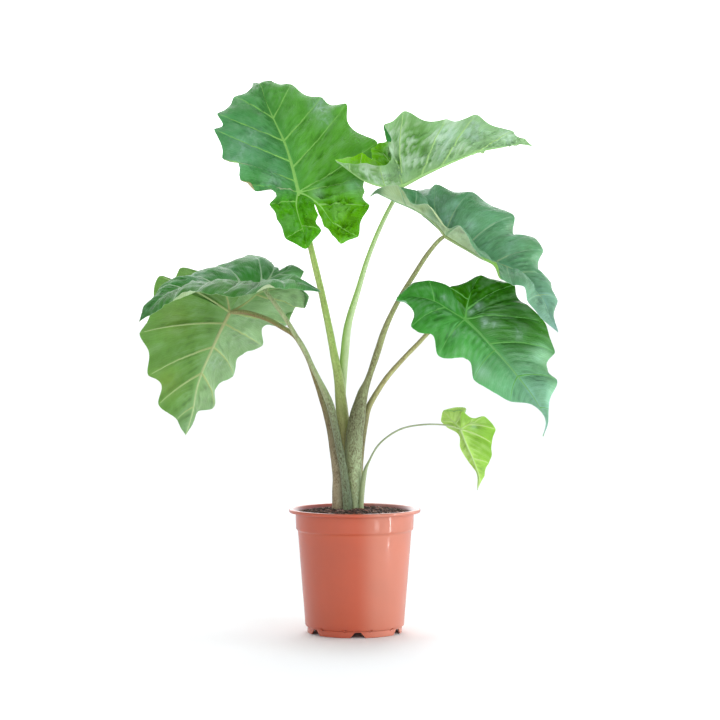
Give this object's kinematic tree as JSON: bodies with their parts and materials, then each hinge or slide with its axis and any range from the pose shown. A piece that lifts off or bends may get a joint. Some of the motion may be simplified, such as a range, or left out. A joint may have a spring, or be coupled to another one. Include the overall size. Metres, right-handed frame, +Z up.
{
  "type": "potted elephant ear",
  "caption": "Potted elephant ear: large waved shield-shaped leaves with strong ribs on long clasping stems, standing in soil in a tapered plastic nursery pot.",
  "frame": {"origin": "on the surface the pot stands on, under the middle of the whole plant's spread; the pot's own axis stands at x 0.0189, y -0.0709", "axes": "+Z up the pot and the stems, -Y the front, where the broad faces of the right-hand leaves look, +X to the right as seen from the front"},
  "size_m": [0.6754, 0.4388, 0.9026],
  "materials": {
    "pot_plastic": "satin",
    "potting_soil": "matte",
    "blade_glossy": "satin",
    "blade_pale": "matte",
    "blade_blue_green": "satin",
    "blade_deep_green": "satin",
    "blade_young": "satin",
    "stem_fresh": "satin",
    "stem_mottled": "satin"
  },
  "bodies": {
    "root": {"pot": "pot_plastic", "soil": "potting_soil", "leaf_top_left_stem": "stem_fresh", "leaf_top_left_blade": "blade_glossy", "leaf_top_right_stem": "stem_fresh", "leaf_top_right_blade": "blade_pale", "leaf_right_stem": "stem_mottled", "leaf_right_blade": "blade_blue_green", "leaf_lower_right_stem": "stem_mottled", "leaf_lower_right_blade": "blade_deep_green", "leaf_lower_left_stem": "stem_mottled", "leaf_lower_left_blade": "blade_pale", "leaf_left_stem": "stem_fresh", "leaf_left_blade": "blade_blue_green", "leaf_small_stem": "stem_fresh", "leaf_small_blade": "blade_young"}
  },
  "joints": []
}
